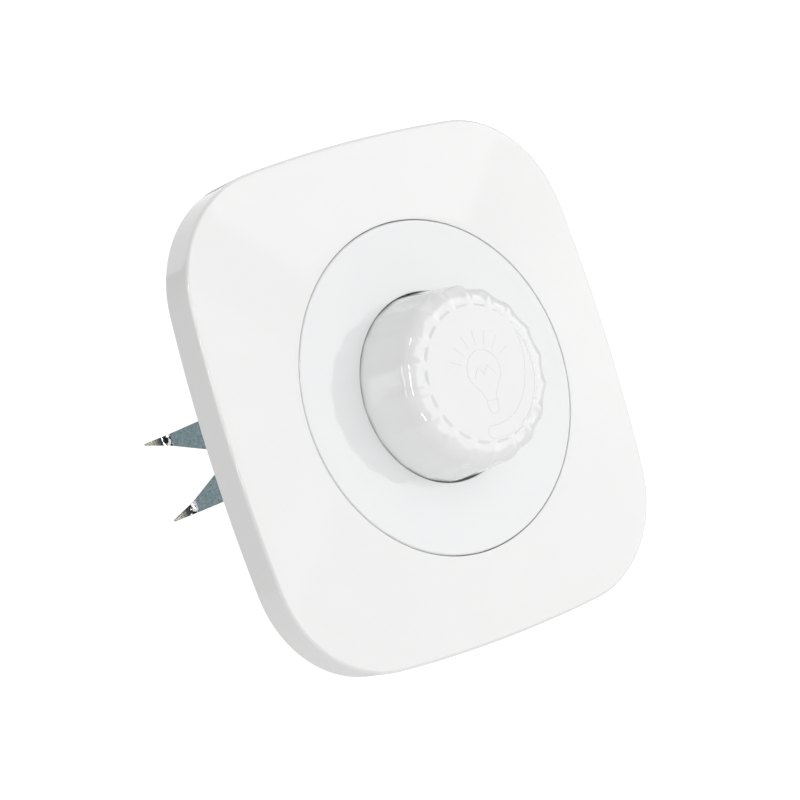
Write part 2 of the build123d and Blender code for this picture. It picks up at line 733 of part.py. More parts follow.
# Spreading claws: forked levers that swing out from the lugs of the support frame.
# Both are the same stamping, so the left one is the right one turned by half a turn.
tilt = radians(claw_tilt)
lean = radians(claw_lean)
outward = Vector(cos(tilt), -sin(tilt), 0)
along = Vector(sin(tilt) * cos(lean), cos(tilt) * cos(lean), sin(lean))
hinge = Vector(claw_hinge_x, claw_hinge_depth, -claw_offset)
sheet_origin = hinge + outward * claw_sheet_offset
side_plane = Plane(origin=sheet_origin, x_dir=along, z_dir=along.cross(outward))
fork_plane = Plane(origin=sheet_origin, x_dir=along, z_dir=outward)
fork_inner = claw_fork_gap / 2
root_inner = claw_screw_diameter / 2 + claw_gap + claw_offset
for side, name in ((-1, "left"), (1, "right")):
    with BuildPart() as claw:
        with BuildSketch(side_plane):
            with BuildLine():
                flat = Line((0, 0), (claw_bend_start, 0))
                bend = JernArc(flat @ 1, flat % 1, claw_bend_radius + claw_sheet, claw_tip_bend)
                Line(bend @ 1, bend @ 1 + (bend % 1) * claw_tip_length)
                offset(amount=claw_sheet, side=Side.LEFT)
            make_face()
        extrude(amount=prong_outer, both=True)
        with BuildSketch(fork_plane):
            for up in (-1, 1):
                with BuildLine():
                    Polyline(
                        (0, up * root_inner),
                        (claw_bridge_start, up * root_inner),
                        (claw_bridge_start, up * fork_inner),
                        (claw_taper_start, up * fork_inner),
                        (claw_point_distance, up * (prong_outer - claw_point_width)),
                        (claw_point_distance, up * prong_outer),
                        (0, up * prong_outer),
                        close=True,
                    )
                make_face()
            with Locations((claw_bridge_start + claw_bridge_length / 2, 0)):
                Rectangle(claw_bridge_length, claw_fork_gap)
        extrude(amount=claw_sheet + claw_tip_length, both=True, mode=Mode.INTERSECT)
        for low in (-prong_outer, root_inner):
            with BuildSketch(Plane.XY.offset(low - claw_offset)):
                with Locations(tuple(hinge)[:2]):
                    Circle(claw_eye_diameter / 2)
            extrude(amount=prong_outer - root_inner)
        for low in (-prong_outer - trunnion_length, prong_outer):
            with BuildSketch(Plane.XY.offset(low - claw_offset)):
                with Locations(tuple(hinge)[:2]):
                    Circle(trunnion_diameter / 2)
            extrude(amount=trunnion_length)
        if side < 0:
            mirror(about=Plane.YZ, mode=Mode.REPLACE)
            mirror(about=Plane.XY, mode=Mode.REPLACE)
    save(claw, f"claw_{name}")

    nut_middle = claw_hinge_height - claw_nut_distance
    with BuildPart() as claw_nut:
        with BuildSketch(front(nut_middle - claw_nut_thickness / 2)):
            with Locations((side * claw_screw_x, 0)):
                Rectangle(claw_nut_width, claw_nut_width)
                Circle(claw_screw_diameter / 2 + thread_gap, mode=Mode.SUBTRACT)
        extrude(amount=claw_nut_thickness)
    save(claw_nut, f"claw_nut_{name}")

    with BuildPart() as claw_screw:
        with BuildSketch(front(-claw_screw_tip_depth)):
            with Locations((side * claw_screw_x, 0)):
                Circle(claw_screw_diameter / 2)
        extrude(amount=claw_screw_tip_depth + support_thickness)
        with BuildSketch(front(support_thickness)):
            with Locations((side * claw_screw_x, 0)):
                Circle(claw_screw_head_diameter / 2)
        extrude(amount=claw_screw_head_height)
        chamfer(claw_screw.faces().sort_by(Axis.Y)[0].edges(), screw_head_chamfer)
        with BuildSketch(front(support_thickness + claw_screw_head_height)):
            with Locations((side * claw_screw_x, 0)):
                Rectangle(claw_screw_head_diameter, claw_screw_slot_width)
        extrude(amount=-claw_screw_slot_depth, mode=Mode.SUBTRACT)
    save(claw_screw, f"claw_screw_{name}")

# Terminals: the screw stays in place and its cage climbs towards the screw's head
for number, place in enumerate(terminal_places, 1):
    with BuildPart() as cage:
        with BuildSketch(Plane.XY.offset(terminal_z - cage_length / 2)):
            with Locations((place, -(cage_front + cage_back) / 2)):
                Rectangle(cage_width, cage_front - cage_back)
            with Locations((place, -(cage_room_front + cage_thread_front) / 2)):
                Rectangle(cage_inner_width, cage_room_front - cage_thread_front, mode=Mode.SUBTRACT)
        extrude(amount=cage_length)
        with BuildSketch(front(cage_back)):
            with Locations((place, terminal_z)):
                Circle(terminal_screw_diameter / 2 + thread_gap)
        extrude(amount=cage_thread_wall, mode=Mode.SUBTRACT)
    save(cage, f"terminal_cage_{number}")

    with BuildPart() as terminal_screw:
        with BuildSketch(front(terminal_head_front)):
            with Locations((place, terminal_z)):
                Circle(terminal_screw_diameter / 2)
        extrude(amount=terminal_tip - terminal_head_front)
        with BuildSketch(front(terminal_head_front - terminal_screw_head_height)):
            with Locations((place, terminal_z)):
                Circle(terminal_screw_head_diameter / 2)
        extrude(amount=terminal_screw_head_height)
        chamfer(terminal_screw.faces().sort_by(Axis.Y)[-1].edges(), screw_head_chamfer)
        with BuildSketch(front(terminal_head_front - terminal_screw_head_height)):
            with Locations((place, terminal_z)):
                Rectangle(terminal_screw_head_diameter, terminal_slot_width)
        extrude(amount=terminal_slot_depth, mode=Mode.SUBTRACT)
    save(terminal_screw, f"terminal_screw_{number}")

board_bottom = terminal_wall_z + terminal_divider + board_gap
bar_bottom = terminal_z - cage_length / 2
with BuildPart() as terminal_bars:
    with BuildSketch(front(bar_back)):
        for place in terminal_places:
            with Locations((place, (board_bottom + bar_overlap + bar_bottom) / 2)):
                Rectangle(bar_width, board_bottom + bar_overlap - bar_bottom)
    extrude(amount=bar_thickness)
save(terminal_bars, "terminal_bars")

# Circuit board
board_top = room_height / 2 - board_gap
board_step = frame_screw_z - boss_diameter / 2 - board_gap
board_width = 2 * (channel_room - board_gap)
board_neck = 2 * (frame_screw_x - boss_diameter / 2 - board_gap)
big_width, big_depth, big_height = big_capacitor_size
big_capacitor_x = channel_room - big_capacitor_gap - big_width / 2
big_capacitor_z = board_step - big_height / 2
big_wires = [(big_capacitor_x, big_capacitor_z + side * big_capacitor_pitch / 2) for side in (-1, 1)]
small_wires = [(small_capacitor_x, side * small_capacitor_pitch / 2) for side in (-1, 1)]
resistor_wire_z = resistor_length / 2 + wire_reach
resistor_wires = [(x, side * resistor_wire_z) for x in resistor_places for side in (-1, 1)]
diac_wires = [(diac_x, side * (diac_length / 2 + wire_reach)) for side in (-1, 1)]
leg_x = triac_body_end + lead_reach
triac_legs = [(leg_x, triac_z + n * lead_pitch) for n in (-1, 0, 1)]
leg_hole_radius = lead_width / 2 + wire_hole_gap
with BuildPart() as circuit_board:
    with BuildSketch(front(board_back)):
        with Locations((0, (board_step + board_bottom) / 2)):
            Rectangle(board_width, board_step - board_bottom)
        with Locations((0, (board_top + board_step) / 2)):
            Rectangle(board_neck, board_top - board_step)
        with Locations(*big_wires, *small_wires, *resistor_wires, *diac_wires):
            Circle(wire_diameter / 2 + wire_hole_gap, mode=Mode.SUBTRACT)
        with Locations(*triac_legs):
            Circle(leg_hole_radius, mode=Mode.SUBTRACT)
    extrude(amount=board_thickness)
save(circuit_board, "circuit_board")

# Insulating pad, triac and its screw on the heat plate
pad_back = heat_plate_back - pad_thickness
triac_length = triac_tab_length + triac_body_length
with BuildPart() as insulating_pad:
    with BuildSketch(front(pad_back)):
        with Locations((triac_body_end - triac_length / 2, triac_z)):
            Rectangle(triac_length + 2 * pad_margin, triac_width + 2 * pad_margin)
        with Locations((triac_hole_x, triac_z)):
            Circle(triac_screw_diameter / 2 + thread_gap, mode=Mode.SUBTRACT)
    extrude(amount=pad_thickness)
save(insulating_pad, "insulating_pad")

tab_back = pad_back - triac_tab_thickness
triac_back = pad_back - triac_body_thickness
lead_height = pad_back - triac_body_thickness / 2
leg_front = lead_height + lead_thickness / 2
with BuildPart() as triac:
    with BuildSketch(front(tab_back)):
        with Locations((triac_body_end - triac_length / 2, triac_z)):
            Rectangle(triac_length, triac_width)
        with Locations((triac_hole_x, triac_z)):
            Circle(triac_screw_diameter / 2 + thread_gap, mode=Mode.SUBTRACT)
    extrude(amount=triac_tab_thickness)
    with BuildSketch(front(triac_back)):
        with Locations((triac_body_end - triac_body_length / 2, triac_z)):
            Rectangle(triac_body_length, triac_width)
    extrude(amount=triac_body_thickness)
    for n in (-1, 0, 1):
        with BuildSketch(Plane.XY.offset(triac_z + n * lead_pitch - lead_width / 2)):
            with Locations((triac_body_end + lead_reach / 2, -lead_height)):
                Rectangle(lead_reach, lead_thickness)
            with Locations((leg_x, -(leg_front + board_front) / 2)):
                Rectangle(lead_thickness, leg_front - board_front)
        extrude(amount=lead_width)
    with BuildSketch(front(board_back)):
        with Locations(*triac_legs):
            Rectangle(lead_thickness, lead_thickness)
    extrude(amount=leg_front - board_back)
save(triac, "triac")

with BuildPart() as triac_screw:
    with BuildSketch(front(tab_back - triac_screw_head_height)):
        with Locations((triac_hole_x, triac_z)):
            Circle(triac_screw_head_diameter / 2)
    extrude(amount=triac_screw_head_height)
    with BuildSketch(front(tab_back)):
        with Locations((triac_hole_x, triac_z)):
            Circle(triac_screw_diameter / 2)
    extrude(amount=triac_tab_thickness + pad_thickness + heat_plate_thickness - plunger_end_gap)
save(triac_screw, "triac_screw")

# Interference choke: ring core with its winding
core_front = board_back - winding_thickness - winding_gap
core_back = core_front - choke_thickness
choke_x = choke_wall_gap + winding_gap + winding_thickness + choke_diameter / 2 - channel_room
with BuildPart() as choke_core:
    with BuildSketch(front(core_back)):
        with Locations((choke_x, choke_z)):
            Circle(choke_diameter / 2)
            Circle(choke_bore / 2, mode=Mode.SUBTRACT)
    extrude(amount=choke_thickness)
save(choke_core, "choke_core")

with BuildPart() as choke_winding:
    middle_radius = (choke_diameter + choke_bore) / 4
    ring_width = (choke_diameter - choke_bore) / 2 + 2 * winding_gap
    turn_width = radians(winding_arc / winding_count) * choke_bore / 2 * winding_width_share
    turn_depth = choke_thickness + 2 * winding_gap
    for n in range(winding_count):
        angle = winding_arc * (n - (winding_count - 1) / 2) / winding_count
        spoke = Vector(cos(radians(angle)), 0, sin(radians(angle)))
        across = Vector(-sin(radians(angle)), 0, cos(radians(angle)))
        centre = Vector(choke_x, -(core_front + core_back) / 2, choke_z) + spoke * middle_radius
        turn_plane = Plane(origin=centre - across * (turn_width / 2), x_dir=spoke, z_dir=across)
        with BuildSketch(turn_plane):
            Rectangle(ring_width + 2 * winding_thickness, turn_depth + 2 * winding_thickness)
            Rectangle(ring_width, turn_depth, mode=Mode.SUBTRACT)
        extrude(amount=turn_width)
save(choke_winding, "choke_winding")

# Suppression capacitor behind the board, with its leads in the board
with BuildPart() as suppression_capacitor:
    with BuildSketch(front(board_back - big_depth)):
        with Locations((big_capacitor_x, big_capacitor_z)):
            RectangleRounded(big_width, big_height, body_corner_radius)
    extrude(amount=big_depth)
    fillet(suppression_capacitor.faces().sort_by(Axis.Y)[-1].edges(), body_edge_radius)
    with BuildSketch(front(board_back)):
        with Locations(*big_wires):
            Circle(wire_diameter / 2)
    extrude(amount=board_thickness)
save(suppression_capacitor, "suppression_capacitor")

# Timing capacitor in front of the board
small_width, small_depth, small_height = small_capacitor_size
with BuildPart() as timing_capacitor:
    with BuildSketch(front(board_front)):
        with Locations((small_capacitor_x, 0)):
            RectangleRounded(small_width, small_height, body_corner_radius)
    extrude(amount=small_depth)
    fillet(timing_capacitor.faces().sort_by(Axis.Y)[0].edges(), body_edge_radius)
    with BuildSketch(front(board_back)):
        with Locations(*small_wires):
            Circle(wire_diameter / 2)
    extrude(amount=board_thickness)
save(timing_capacitor, "timing_capacitor")

# Resistors and the diac: they lie on the board, with their leads bent down into it
axial_parts = (
    ("resistors", resistor_places, resistor_diameter, resistor_length),
    ("diac", (diac_x,), diac_diameter, diac_length),
)
for name, places, diameter, length in axial_parts:
    axis_depth = -(board_front + diameter / 2)
    wire_z = length / 2 + wire_reach
    with BuildPart() as axial_part:
        with BuildSketch(Plane.XY.offset(-length / 2)):
            for place in places:
                with Locations((place, axis_depth)):
                    Circle(diameter / 2)
        extrude(amount=length)
        fillet(axial_part.edges().filter_by(GeomType.CIRCLE), body_edge_radius)
        for place in places:
            with BuildLine() as wire:
                FilletPolyline(
                    (place, -board_back, -wire_z),
                    (place, axis_depth, -wire_z),
                    (place, axis_depth, wire_z),
                    (place, -board_back, wire_z),
                    radius=wire_bend_radius,
                )
            with BuildSketch(Plane(origin=wire.line @ 0, z_dir=wire.line % 0)):
                Circle(wire_diameter / 2)
            sweep()
    save(axial_part, name)

# Fuse and its two clips
fuse_radius = fuse_diameter / 2
fuse_height = board_back - fuse_standoff - fuse_radius
with BuildPart() as fuse:
    with BuildSketch(Plane.YZ.offset(-fuse_length / 2)):
        with Locations((-fuse_height, fuse_z)):
            Circle(fuse_radius - fuse_cap_thickness)
    extrude(amount=fuse_length)
    for start in (-fuse_length / 2, fuse_length / 2 - fuse_cap_length):
        with BuildSketch(Plane.YZ.offset(start)):
            with Locations((-fuse_height, fuse_z)):
                Circle(fuse_radius)
        extrude(amount=fuse_cap_length)
save(fuse, "fuse")

clip_inner = fuse_radius + thread_gap
clip_outer = clip_inner + fuse_clip_sheet
clip_middle = fuse_length / 2 - fuse_cap_length / 2
with BuildPart() as fuse_clips:
    for middle in (-clip_middle, clip_middle):
        with BuildSketch(Plane.YZ.offset(middle - fuse_clip_width / 2)):
            with Locations((-fuse_height, fuse_z)):
                Circle(clip_outer)
            with Locations(((-board_back - fuse_height) / 2, fuse_z)):
                Rectangle(-fuse_height + board_back, 2 * clip_outer)
            with Locations((-fuse_height, fuse_z)):
                Circle(clip_inner, mode=Mode.SUBTRACT)
            with Locations((-fuse_height + clip_outer, fuse_z)):
                Rectangle(clip_outer, 2 * clip_outer, mode=Mode.SUBTRACT)
        extrude(amount=fuse_clip_width)
save(fuse_clips, "fuse_clips")
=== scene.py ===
import json
from math import atan2, cos, pi, radians, sin, sqrt, tan

import bmesh
import bpy
from mathutils import Matrix, Vector
from mathutils.geometry import delaunay_2d_cdt


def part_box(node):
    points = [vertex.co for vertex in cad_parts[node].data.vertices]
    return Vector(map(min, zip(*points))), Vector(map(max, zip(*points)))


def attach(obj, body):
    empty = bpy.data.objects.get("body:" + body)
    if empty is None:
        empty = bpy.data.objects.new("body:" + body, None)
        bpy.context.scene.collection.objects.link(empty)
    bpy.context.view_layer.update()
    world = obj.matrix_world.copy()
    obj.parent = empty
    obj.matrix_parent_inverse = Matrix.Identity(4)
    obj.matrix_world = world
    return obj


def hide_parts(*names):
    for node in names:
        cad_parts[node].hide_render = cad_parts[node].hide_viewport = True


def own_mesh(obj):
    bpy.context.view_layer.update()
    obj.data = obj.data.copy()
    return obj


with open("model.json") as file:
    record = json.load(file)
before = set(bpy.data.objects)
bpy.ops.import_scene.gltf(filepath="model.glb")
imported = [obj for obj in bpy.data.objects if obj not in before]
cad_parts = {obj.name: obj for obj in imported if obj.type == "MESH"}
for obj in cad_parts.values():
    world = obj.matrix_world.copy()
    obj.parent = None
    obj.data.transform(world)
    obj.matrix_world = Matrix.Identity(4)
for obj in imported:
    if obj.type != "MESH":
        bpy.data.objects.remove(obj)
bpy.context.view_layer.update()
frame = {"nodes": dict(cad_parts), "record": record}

# The dimmer faces -Y, with +Z up. Heights are measured from the wall into the room, as -y.
mm = 0.001


def low_of(node):
    """Return the lowest corner of a CAD node's box"""
    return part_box(node)[0]


def high_of(node):
    """Return the highest corner of a CAD node's box"""
    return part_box(node)[1]


# Cover frame: sizes from the CAD box, and the curves that a box can't give
frame_half_width = high_of("cover_frame").x
frame_half_height = high_of("cover_frame").z
face_height = -low_of("cover_frame").y
frame_bow_radius = 277 * mm
frame_corner_radius = 20 * mm
frame_edge_height = 6.5 * mm
frame_draft = 0.4 * mm
frame_wall = 2 * mm
frame_edge_fillet = 0.6 * mm
ledge_width = 1.8 * mm
ledge_thickness = 1.2 * mm
rib_thickness = 1.2 * mm
rib_spacing = 40 * mm
rib_gap = 0.3 * mm
rib_recess = 0.2 * mm
bow_steps = 24
corner_steps = 22

# Centre plate, which sits a little to one side in its hole, and the knob's well in it
plate_radius = high_of("centre_plate").x
plate_gap = 0.16 * mm
plate_play = 0.06 * mm
hole_edge_radius = 0.08 * mm
plate_thickness = 2 * mm
plate_edge_radius = 0.35 * mm
well_gap = 0.2 * mm
well_edge_radius = 0.2 * mm
well_wall = 1.5 * mm
well_floor = 1.5 * mm
well_bottom = 1.2 * mm
plate_foot_radius = 8 * mm
plate_bore_radius = 5.1 * mm
plate_rib_count = 8
plate_rib_depth = 2 * mm

# Knob: skirt with flutes, shoulder, and a face that stands a step above the flutes
knob_radius = 15.85 * mm
knob_back = -high_of("knob").y
knob_front = -low_of("knob").y
knob_taper = radians(4.7)
knob_face_radius = 11.05 * mm
face_step = 0.34 * mm
face_step_width = 0.4 * mm
face_step_fullness = 5
knob_shoulder_depth = 3.2 * mm
knob_wall = 1.8 * mm
knob_roof = 2 * mm
flute_count = 18
flute_depth = 0.42 * mm
flute_sharpness = 1.6
flute_foot_share = 0.25
steps_per_flute = 20

# Pictogram, engraved with these grooves. Its drawing is in millimetres about the knob's axis.
groove_half_width = 0.11 * mm
groove_depth = 0.06 * mm
groove_steepness = 1.6
groove_lines = (-1, -0.375, 0, 0.375, 1)
face_rim_width = 0.12 * mm

# Claws: how their sheet leans, and where along it the fold and the points are
claw_tilt = 16.0
claw_lean = 4.9
claw_fold_start = 29.8 * mm
claw_fold_end = 31.3 * mm
claw_fold_blur = 0.15 * mm
claw_shade_length = 1.6 * mm
claw_edge_width = 0.08 * mm
nut_edge_width = 0.15 * mm

# Claw screws
screw_head_height = 2 * mm
screw_head_chamfer = 0.3 * mm
screw_slot_depth = 1 * mm
screw_slot_width = 0.9 * mm
screw_shank_radius = 1.75 * mm
thread_pitch = 0.7 * mm
thread_depth = 0.32 * mm
thread_flank_slope = 1.3

# Spring of the push switch
spring_wire = 0.5 * mm
spring_turns = 4
spring_closed_share = 0.7

# Points nearer to each other than this are one point
weld_distance = 0.001 * mm

plate_hole_radius = plate_radius + plate_gap
plate_back = face_height - plate_thickness
knob_foot_radius = knob_radius - (face_height - knob_back) * tan(knob_taper)
well_radius = knob_foot_radius + well_gap
floor_height = well_bottom + well_floor


def at(x, z, height):
    """Return the point over (x, z) on the wall at this height"""
    return Vector((x, -height, z))


def around(radius, angle, height):
    """Return the point at this radius and angle about the knob's axis"""
    return at(radius * cos(angle), radius * sin(angle), height)


# Looks: scales are in cells per metre, and a material drifts between two colours
plastic_ior = 1.55
plastic_drift_scale = 60
plastic_gloss_scale = 220
plastic_gloss_spread = 0.15
metal_gloss_spread = 0.3
metal_gloss_coarseness = 3
plain_detail = 3.0
fine_detail = 6.0

# Plastics: colour, roughness, scale and depth of the grain, and share by which patches are darker
plastics = {
    "white_plastic": ((0.90, 0.90, 0.896), 0.06, 300, 0.002 * mm, 0.015),
    "plate_plastic": ((0.90, 0.902, 0.912), 0.03, 300, 0.0005 * mm, 0.015),
    "knob_plastic": ((0.90, 0.904, 0.900), 0.02, 300, 0.0005 * mm, 0.015),
    "housing_plastic": ((0.075, 0.079, 0.088), 0.38, 4000, 0.01 * mm, 0.12),
    "cover_plastic": ((0.095, 0.10, 0.11), 0.42, 4000, 0.01 * mm, 0.12),
    "black_plastic": ((0.012, 0.012, 0.013), 0.4, 4000, 0.01 * mm, 0.3),
    "board": ((0.03, 0.13, 0.035), 0.3, 2500, 0.01 * mm, 0.2),
    "ferrite": ((0.045, 0.047, 0.05), 0.62, 5000, 0.03 * mm, 0.3),
    "capacitor_plastic": ((0.62, 0.50, 0.05), 0.33, 3000, 0.006 * mm, 0.06),
    "small_capacitor_plastic": ((0.36, 0.03, 0.015), 0.25, 2500, 0.006 * mm, 0.1),
    "resistor_ceramic": ((0.55, 0.42, 0.22), 0.45, 3000, 0.01 * mm, 0.1),
    "component_glass": ((0.62, 0.66, 0.70), 0.06, 400, 0.002 * mm, 0.05),
    "silicone": ((0.38, 0.41, 0.45), 0.55, 3000, 0.01 * mm, 0.05),
}

# Metals: dark and light colour, roughness, and scale and depth of the speckles
metals = {
    "zinc_steel": ((0.30, 0.35, 0.38), (0.52, 0.58, 0.61), 0.34, 9000, 0.01 * mm),
    "screw_steel": ((0.52, 0.53, 0.52), (0.66, 0.67, 0.66), 0.26, 4000, 0.004 * mm),
    "spring_steel": ((0.42, 0.42, 0.42), (0.55, 0.55, 0.54), 0.3, 4000, 0.003 * mm),
    "aluminium": ((0.74, 0.75, 0.76), (0.84, 0.85, 0.86), 0.36, 5000, 0.006 * mm),
    "brass": ((0.72, 0.52, 0.24), (0.86, 0.66, 0.34), 0.3, 4000, 0.004 * mm),
    "copper": ((0.62, 0.26, 0.12), (0.78, 0.36, 0.18), 0.28, 5000, 0.004 * mm),
}

# Claws: speckled sheet, black and white painted reflections on the fold, and points painted dark as shade
# that lightens to olive grey
claw_speckle_scale = 3200
claw_speckle_depth = 0.008 * mm
claw_sheet_colours = ((0.15, 0.22, 0.24), (0.34, 0.43, 0.46))
claw_reflection_scale = 1500
claw_reflection_colours = ((0.012, 0.015, 0.018), (1.0, 1.0, 1.0))
claw_reflection_limits = (0.46, 0.52)
claw_point_shade_colours = ((0.02, 0.022, 0.023), (0.17, 0.165, 0.14))
claw_point_shade_limits = (0.2, 1.0)
claw_sheet_roughness = 0.34
claw_fold_roughness = 0.2


def new_material(name):
    """Return a material with its node tree, its shader and its object coordinates"""
    material = bpy.data.materials.new(name)
    material.use_nodes = True
    nodes = material.node_tree.nodes
    shader = nodes["Principled BSDF"]
    place = nodes.new("ShaderNodeTexCoord")
    return material, shader, place.outputs["Object"]


def noise(material, place, scale, detail=plain_detail):
    """Return the factor of a noise texture of this scale, in cells per metre"""
    texture = material.node_tree.nodes.new("ShaderNodeTexNoise")
    texture.inputs["Scale"].default_value = scale
    texture.inputs["Detail"].default_value = detail
    material.node_tree.links.new(place, texture.inputs["Vector"])
    return texture.outputs["Fac"]


def ramp(material, factor, low, high, start=0.3, end=0.7):
    """Return a colour that runs from low to high with a factor"""
    node = material.node_tree.nodes.new("ShaderNodeValToRGB")
    for stop, position, colour in zip(node.color_ramp.elements, (start, end), (low, high)):
        stop.position = position
        stop.color = (*colour, 1)
    material.node_tree.links.new(factor, node.inputs["Fac"])
    return node.outputs["Color"]


def spread(material, factor, low, high):
    """Return a factor stretched to run from low to high"""
    node = material.node_tree.nodes.new("ShaderNodeMapRange")
    node.inputs["To Min"].default_value = low
    node.inputs["To Max"].default_value = high
    material.node_tree.links.new(factor, node.inputs["Value"])
    return node.outputs["Result"]


def bump(material, shader, factor, depth):
    """Press a texture into the surface to this depth, in metres"""
    node = material.node_tree.nodes.new("ShaderNodeBump")
    node.inputs["Distance"].default_value = depth
    material.node_tree.links.new(factor, node.inputs["Height"])
    material.node_tree.links.new(node.outputs["Normal"], shader.inputs["Normal"])


def plastic(name, colour, roughness, grain_scale, grain_depth, tint):
    """Return a moulded plastic: a faint drift of colour, uneven gloss and a fine moulded grain"""
    material, shader, place = new_material(name)
    links = material.node_tree.links
    darker = tuple(channel * (1 - tint) for channel in colour)
    drift = noise(material, place, plastic_drift_scale)
    links.new(ramp(material, drift, darker, colour), shader.inputs["Base Color"])
    gloss = spread(material, noise(material, place, plastic_gloss_scale),
                   roughness * (1 - plastic_gloss_spread), roughness * (1 + plastic_gloss_spread))
    links.new(gloss, shader.inputs["Roughness"])
    shader.inputs["IOR"].default_value = plastic_ior
    bump(material, shader, noise(material, place, grain_scale), grain_depth)
    return material


def metal(name, dark, light, roughness, speckle_scale, depth):
    """Return a plated or bare metal: speckled colour, uneven roughness and a fine rough surface"""
    material, shader, place = new_material(name)
    links = material.node_tree.links
    speckle = noise(material, place, speckle_scale, fine_detail)
    links.new(ramp(material, speckle, dark, light), shader.inputs["Base Color"])
    gloss = spread(material, noise(material, place, speckle_scale / metal_gloss_coarseness),
                   roughness * (1 - metal_gloss_spread), roughness * (1 + metal_gloss_spread))
    links.new(gloss, shader.inputs["Roughness"])
    shader.inputs["Metallic"].default_value = 1.0
    bump(material, shader, speckle, depth)
    return material


def along_claw(side):
    """Return the direction in which a claw's prongs point, on one side of the insert"""
    tilt, lean = radians(claw_tilt), radians(claw_lean)
    return Vector((side * sin(tilt) * cos(lean), cos(tilt) * cos(lean), side * sin(lean)))


def claw_metal(name, side):
    """Return a claw's zinc plate: speckled sheet, painted reflections in black and white on the fold, and
    points darkened with painted shade
    """
    material, shader, place = new_material(name)
    nodes, links = material.node_tree.nodes, material.node_tree.links
    reach = nodes.new("ShaderNodeVectorMath")
    reach.operation = "DOT_PRODUCT"
    reach.inputs[1].default_value = along_claw(side)
    links.new(place, reach.inputs[0])

    def beyond(start, end):
        node = nodes.new("ShaderNodeMapRange")
        node.inputs["From Min"].default_value = start
        node.inputs["From Max"].default_value = end
        links.new(reach.outputs["Value"], node.inputs["Value"])
        return node.outputs["Result"]

    def mixed(factor, first, second):
        node = nodes.new("ShaderNodeMix")
        node.data_type = "RGBA"
        links.new(factor, node.inputs["Factor"])
        links.new(first, node.inputs["A"])
        links.new(second, node.inputs["B"])
        return node.outputs["Result"]

    speckle = noise(material, place, claw_speckle_scale, fine_detail)
    sheet = ramp(material, speckle, *claw_sheet_colours)
    # Painted reflection: black and white patches on the fold stand in for the mirror-like reflections of the
    # room
    reflection_blotches = noise(material, place, claw_reflection_scale)
    painted_reflections = ramp(material, reflection_blotches, *claw_reflection_colours, *claw_reflection_limits)
    # Painted shade: the points beyond the fold are painted dark, lightening to olive grey further out
    shade = beyond(claw_fold_end, claw_fold_end + claw_shade_length)
    point = ramp(material, shade, *claw_point_shade_colours, *claw_point_shade_limits)
    on_fold = beyond(claw_fold_start - claw_fold_blur, claw_fold_start)
    on_point = beyond(claw_fold_end - claw_fold_blur, claw_fold_end)
    links.new(mixed(on_point, mixed(on_fold, sheet, painted_reflections), point), shader.inputs["Base Color"])
    gloss = spread(material, on_fold, claw_sheet_roughness, claw_fold_roughness)
    links.new(gloss, shader.inputs["Roughness"])
    shader.inputs["Metallic"].default_value = 1.0
    bump(material, shader, speckle, claw_speckle_depth)
    return material


materials = {name: plastic(name, *look) for name, look in plastics.items()}
materials.update({name: metal(name, *look) for name, look in metals.items()})


# Mesh helpers


def new_piece(name, vertices, faces, crease=30):
    """Make a shaded mesh object, its faces turned outwards and its edges over this angle crisp"""
    mesh = bpy.data.meshes.new(name)
    mesh.from_pydata([tuple(v) for v in vertices], [], faces)
    mesh.validate()
    build = bmesh.new()
    build.from_mesh(mesh)
    bmesh.ops.remove_doubles(build, verts=build.verts, dist=weld_distance)
    bmesh.ops.recalc_face_normals(build, faces=build.faces)
    build.to_mesh(mesh)
    build.free()
    mesh.shade_smooth()
    mesh.set_sharp_from_angle(angle=radians(crease))
    piece = bpy.data.objects.new(name, mesh)
    bpy.context.scene.collection.objects.link(piece)
    return piece


def dress(piece, body, slot_name, *nodes):
    """Give a piece its material and its body, and hide the CAD nodes that it stands for"""
    piece.data.materials.append(materials[slot_name])
    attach(piece, body)
    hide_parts(*nodes)
    return piece


def loop_faces(columns, length):
    """Return the faces of closed sections that follow each other round a ring"""
    faces = []
    for i in range(columns):
        after = (i + 1) % columns
        for k in range(length):
            beyond = (k + 1) % length
            faces.append([i * length + k, i * length + beyond, after * length + beyond, after * length + k])
    return faces


def add_box(vertices, faces, low, high):
    """Add a closed box between two corners to a mesh"""
    start = len(vertices)
    for x in (low[0], high[0]):
        for y in (low[1], high[1]):
            for z in (low[2], high[2]):
                vertices.append(Vector((x, y, z)))
    for corners in ((0, 1, 3, 2), (4, 6, 7, 5), (0, 4, 5, 1), (2, 3, 7, 6), (0, 2, 6, 4), (1, 5, 7, 3)):
        faces.append([start + corner for corner in corners])


def rounded_corner(corner, towards, away, radius, steps):
    """Return points round a corner between two directions, for a fillet of this radius"""
    first = towards.normalized()
    last = away.normalized()
    half = first.angle(last) / 2
    setback = radius / tan(half)
    centre = corner + (first + last).normalized() * (radius / sin(half))
    start = corner + first * setback - centre
    end = corner + last * setback - centre
    turn = start.angle(end)
    points = []
    for n in range(steps + 1):
        share = n / steps
        mixed = start * sin((1 - share) * turn) + end * sin(share * turn)
        points.append(centre + mixed / sin(turn))
    return points


# Cover frame: bowed outline of eight tangent arcs, each with its centre, radius and angles


